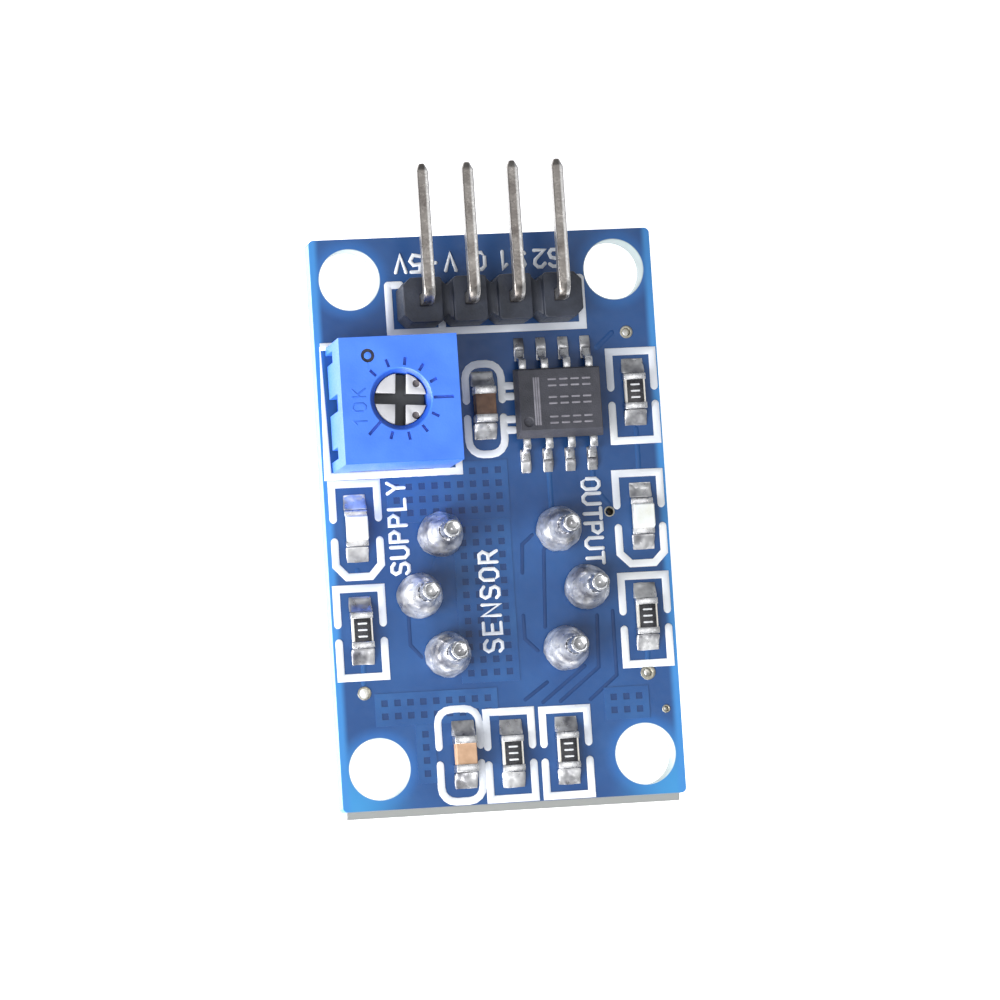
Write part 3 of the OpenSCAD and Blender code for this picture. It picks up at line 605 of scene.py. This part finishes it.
# Painted shade: the two dimples in the rotor's top are painted grey, below the top face, as if in
# shade.
for side in (ROTOR_SET - DIMPLE_SIDE, ROTOR_SET + DIMPLE_SIDE):
    dimple = (trimmer_mid.x + DIMPLE_AT * math.cos(math.radians(side)),
              trimmer_mid.y + DIMPLE_AT * math.sin(math.radians(side)))
    overlay(rotor_plastic, round_spot(rotor_plastic, dimple, 0.2, 0.05, rotor_top - 0.01),
            (112, 106, 110))
# Painted shade: the rotor is painted dark grey from a little below its top downwards, down in the
# cross slot, as if in shade.
overlay(rotor_plastic, within(rotor_plastic, coordinates(rotor_plastic)["Z"],
                              (rotor_top - 0.3) * MM, (rotor_top - 0.14) * MM), (74, 76, 80))
eased("trimmer_rotor", 0.05, rotor_plastic, "rotor_plastic", body="trimmer_screw")
spring_metal = finish("spring_metal", (150, 132, 96), (196, 176, 134), (0.25, 0.4), patch=0.8,
                      Metallic=1.0)
eased("trimmer_wiper", 0.015, spring_metal, "spring_metal", body="trimmer_screw")
seal_rubber = finish("seal_rubber", (30, 30, 32), (46, 46, 50), (0.6, 0.8), patch=0.6)
white_ceramic = finish("white_ceramic", (214, 210, 200), (234, 230, 222), (0.5, 0.7), patch=0.8)
track_ink = finish("track_ink", (38, 34, 32), (58, 52, 48), (0.5, 0.7), patch=0.4)
lead_metal = finish("lead_metal", (206, 206, 208), (246, 246, 248), (0.24, 0.4), patch=0.5,
                    grain=0.1, Metallic=1.0)
potting = finish("potting", (34, 86, 178), (46, 102, 200), (0.3, 0.5), patch=1.5, grain=0.4)
eased("trimmer_seal_ring", 0.01, seal_rubber, "seal_rubber")
eased("trimmer_element", 0.03, white_ceramic, "white_ceramic")
eased("trimmer_track", 0.005, track_ink, "track_ink")
eased("trimmer_terminals", 0.04, lead_metal, "lead_metal")
eased("trimmer_end_seal", 0.03, potting, "potting")
moulded_mark = finish("moulded_mark", (44, 98, 206), (60, 114, 222), (0.35, 0.5), patch=0.6)
strokes("trimmer_value", word("10K", (trimmer_mid.x - 2.0, trimmer_mid.y - 1.4), 0.72, 90,
                              pitch=1.1),
        0.14, moulded_mark, "case_plastic", height=0.02, z=case_top - 0.01)


def button(name, centre, radius, foot_z, top_z, rings, surface, slot):
    """A small round plug whose top is stepped in and up or down, ring by ring."""
    bpy.ops.object.select_all(action="DESELECT")
    bpy.context.tool_settings.mesh_select_mode = (False, False, True)
    bpy.ops.mesh.primitive_cylinder_add(vertices=28, radius=radius * MM,
                                        depth=(top_z - foot_z) * MM, end_fill_type="NGON")
    piece = bpy.context.object
    piece.name = name
    piece.data.transform(Matrix.Translation(Vector((*centre, (foot_z + top_z) / 2)) * MM))
    for face in piece.data.polygons:
        face.select = face.normal.z > 0.9
    bpy.ops.object.mode_set(mode="EDIT")
    for inward, rise in rings:
        bpy.ops.mesh.inset(thickness=inward * MM)
        bpy.ops.transform.translate(value=(0, 0, rise * MM))
    bpy.ops.object.mode_set(mode="OBJECT")
    bpy.ops.object.shade_smooth_by_angle(angle=math.radians(60))
    piece.data.materials.append(surface)
    mounted(piece, slot)


button("trimmer_marker", MARKER, 0.17, case_top - 0.2, case_top - 0.06,
       ((0.03, 0.03), (0.04, 0.02), (0.05, 0.008)), lead_metal, "case_plastic")

# ---- Comparator ----
# An eight-lead small-outline package of black moulding compound, with tinned
# gull-wing leads and faint printed rows of plain bars.
ic_plastic = finish("ic_plastic", (54, 55, 62), (72, 72, 80), (0.42, 0.6), patch=1.2, grain=0.08,
                    bump=0.4)
eased("comparator_body", 0.04, ic_plastic, "ic_plastic")
eased("comparator_leads", 0.03, lead_metal, "lead_metal")
ic_print = finish("ic_print", (122, 120, 128), (146, 144, 152), (0.55, 0.7), patch=0.5, grain=0.08)
ic_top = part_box("comparator_body")[1].z / MM
strokes("comparator_print",
        [[(x, 4.95), (x, 7.55)] for x in (2.25, 2.38, 2.51)]
        + [[(x, y), (x + 0.38, y)] for y in (5.0, 5.35, 6.1, 6.45, 7.1, 7.45)
           for x in (3.1, 3.75, 4.4, 5.05)],
        0.12, ic_print, "ic_plastic", height=0.012, z=ic_top - 0.004)

# ---- Chip parts ----
# Ceramic chips with plated ends: resistors under a black glaze with three plain
# bars, capacitors of bare brown or tan ceramic, and two white-resin LEDs.
resistor_glaze = finish("resistor_glaze", (28, 28, 32), (46, 46, 52), (0.2, 0.35), patch=0.6)
value_ink = finish("value_ink", (205, 208, 212), (235, 236, 240), (0.5, 0.65), patch=0.3,
                   grain=0.06)
brown_ceramic = finish("brown_ceramic", (104, 76, 58), (132, 100, 78), (0.4, 0.6), patch=0.5)
tan_ceramic = finish("tan_ceramic", (178, 142, 112), (198, 162, 132), (0.4, 0.6), patch=0.5)
led_laminate = finish("led_laminate", (205, 204, 192), (228, 226, 214), (0.5, 0.65), patch=0.5)
led_resin = finish("led_resin", (238, 236, 224), (250, 250, 246), (0.15, 0.3), patch=0.9,
                   Subsurface_Weight=0.15)


def glaze(number):
    """The overcoat on a resistor: a plate with its edges drawn down, and three bars on top."""
    low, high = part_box(f"resistor_{number}_body")
    middle = (low + high) / 2
    bpy.ops.object.select_all(action="DESELECT")
    bpy.ops.mesh.primitive_cube_add(size=1)
    piece = bpy.context.object
    piece.name = f"resistor_{number}_overcoat"
    piece.data.transform(Matrix.Translation((middle.x, middle.y, high.z + 0.005 * MM))
                         @ Matrix.Diagonal((0.94 * MM, 1.34 * MM, 0.05 * MM, 1)))
    bpy.ops.object.mode_set(mode="EDIT")
    bpy.ops.mesh.select_all(action="SELECT")
    bpy.ops.mesh.bevel(offset=0.018 * MM, segments=3)
    bpy.ops.object.mode_set(mode="OBJECT")
    bpy.ops.object.shade_smooth_by_angle(angle=math.radians(40))
    piece.data.materials.append(resistor_glaze)
    mounted(piece, "white_ceramic")
    x, y = middle.x / MM, middle.y / MM
    strokes(f"resistor_{number}_bars", [[(x - 0.22, y + up), (x + 0.22, y + up)]
                                        for up in (-0.36, 0, 0.36)],
            0.1, value_ink, "white_ceramic", height=0.008, z=high.z / MM + 0.03)


for number in (1, 2, 3, 4, 5):
    eased(f"resistor_{number}_body", 0.02, white_ceramic, "white_ceramic")
    eased(f"resistor_{number}_terminals", 0.03, lead_metal, "lead_metal")
    glaze(number)
for number, ceramic, slot in ((1, brown_ceramic, "brown_ceramic"), (2, tan_ceramic, "tan_ceramic")):
    eased(f"capacitor_{number}_body", 0.05, ceramic, slot)
    eased(f"capacitor_{number}_terminals", 0.05, lead_metal, "lead_metal")
for number in (1, 2):
    eased(f"led_{number}_base", 0.02, led_laminate, "led_laminate")
    eased(f"led_{number}_lens", 0.06, led_resin, "led_resin", steps=3)
    eased(f"led_{number}_terminals", 0.03, lead_metal, "lead_metal")

# ---- Gas sensor ----
# A drawn nickel-plated can clamped to a brown resin base by a rolled ring. Six
# tubular pins pass up through the board and are soldered on the component face.
resin_base = finish("resin_base", (52, 36, 30), (74, 52, 42), (0.4, 0.6), patch=2.0, grain=0.2)
nickel_plate = finish("nickel_plate", (152, 153, 154), (158, 159, 159), (0.26, 0.29), patch=9.0,
                      grain=0.9, bump=0.01, Metallic=1.0)
gauze_steel = finish("gauze_steel", (140, 142, 144), (190, 192, 194), (0.25, 0.4), patch=0.5,
                     Metallic=1.0)
tube_pin_metal = finish("tube_pin_metal", (170, 172, 176), (222, 223, 226), (0.16, 0.34),
                        patch=0.6, Metallic=1.0)
eased("sensor_base", 0.08, resin_base, "resin_base")
eased("sensor_clamp_ring", 0.06, nickel_plate, "nickel_plate")
eased("sensor_can", 0.05, nickel_plate, "nickel_plate")
for number in (1, 2, 3, 4, 5, 6):
    eased(f"sensor_pin_{number}", 0.04, tube_pin_metal, "tube_pin_metal")

# ---- Solder in the pin mouths ----
# Solder also wets the inside of each tubular pin and freezes as a shallow
# dished plug just below its rim, with one small drop in the middle.
for number in (1, 2, 3, 4, 5, 6):
    pin_low, pin_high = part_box(f"sensor_pin_{number}")
    button(f"sensor_pin_{number}_plug", ((pin_low.x + pin_high.x) / 2 / MM,
                                         (pin_low.y + pin_high.y) / 2 / MM),
           0.3, pin_high.z / MM - 0.6, pin_high.z / MM - 0.1,
           ((0.07, -0.05), (0.1, -0.02), (0.06, 0.09), (0.03, 0.02)), solder, "solder")

# ---- Gauze and element ----
# Two discs of woven stainless wire let gas in and keep sparks from spreading.
# Behind them a small ceramic tube wears tin oxide over gold electrodes.
disc_low, disc_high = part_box("sensor_gauze_outer")
disc_mid = (disc_low + disc_high) / 2 / MM
disc_r = (disc_high.x - disc_low.x) / 2 / MM - 0.1
WIRE_R, MESH_PITCH = 0.045, 0.42
weave = bpy.data.curves.new("sensor_gauze_woven", "CURVE")
weave.dimensions = "3D"
weave.bevel_depth = WIRE_R * MM
weave.bevel_resolution = 1
weave.use_fill_caps = True
wires = int(disc_r / MESH_PITCH)
for lengthwise in (True, False):
    for row in range(-wires, wires + 1):
        offset = row * MESH_PITCH
        reach = math.sqrt(max(disc_r ** 2 - offset ** 2, 0))
        steps = int(2 * reach / (MESH_PITCH / 4))
        if steps < 6:
            continue
        wire = weave.splines.new("POLY")
        wire.points.add(steps)
        for index, point in enumerate(wire.points):
            t = -reach + 2 * reach * index / steps
            lift = WIRE_R * math.cos(math.pi * t / MESH_PITCH + math.pi * row)
            x, y = (t, offset) if lengthwise else (offset, t)
            lift = lift if lengthwise else -lift
            point.co = ((disc_mid.x + x) * MM, (disc_mid.y + y) * MM, (disc_mid.z + lift) * MM, 1)
gauze = bpy.data.objects.new("sensor_gauze_woven", weave)
bpy.context.scene.collection.objects.link(gauze)
only(gauze)
bpy.ops.object.convert(target="MESH")
gauze = bpy.context.object
gauze.data.materials.append(gauze_steel)
bpy.ops.object.shade_smooth()
dress("sensor_gauze_outer", gauze_steel)
mounted(gauze, "gauze_steel", "sensor_gauze_outer")
eased("sensor_gauze_inner", 0.02, gauze_steel, "gauze_steel")
oxide = finish("oxide", (196, 192, 182), (222, 218, 208), (0.7, 0.9), patch=0.4, grain=0.05,
               bump=0.6)
gold = finish("gold", (200, 160, 70), (228, 190, 100), (0.2, 0.35), patch=0.4, Metallic=1.0)
heater_wire = finish("heater_wire", (90, 88, 86), (130, 126, 122), (0.3, 0.5), patch=0.3,
                     Metallic=1.0)
platinum = finish("platinum", (180, 178, 174), (214, 212, 208), (0.2, 0.35), patch=0.3,
                  Metallic=1.0)
for node, surface, slot in (("sensor_ceramic_tube", white_ceramic, "white_ceramic"),
                            ("sensor_oxide_layer", oxide, "oxide"),
                            ("sensor_electrodes", gold, "gold"),
                            ("sensor_lead_wires", platinum, "platinum")):
    eased(node, 0.01, surface, slot)
dress("sensor_heater_coil", heater_wire)
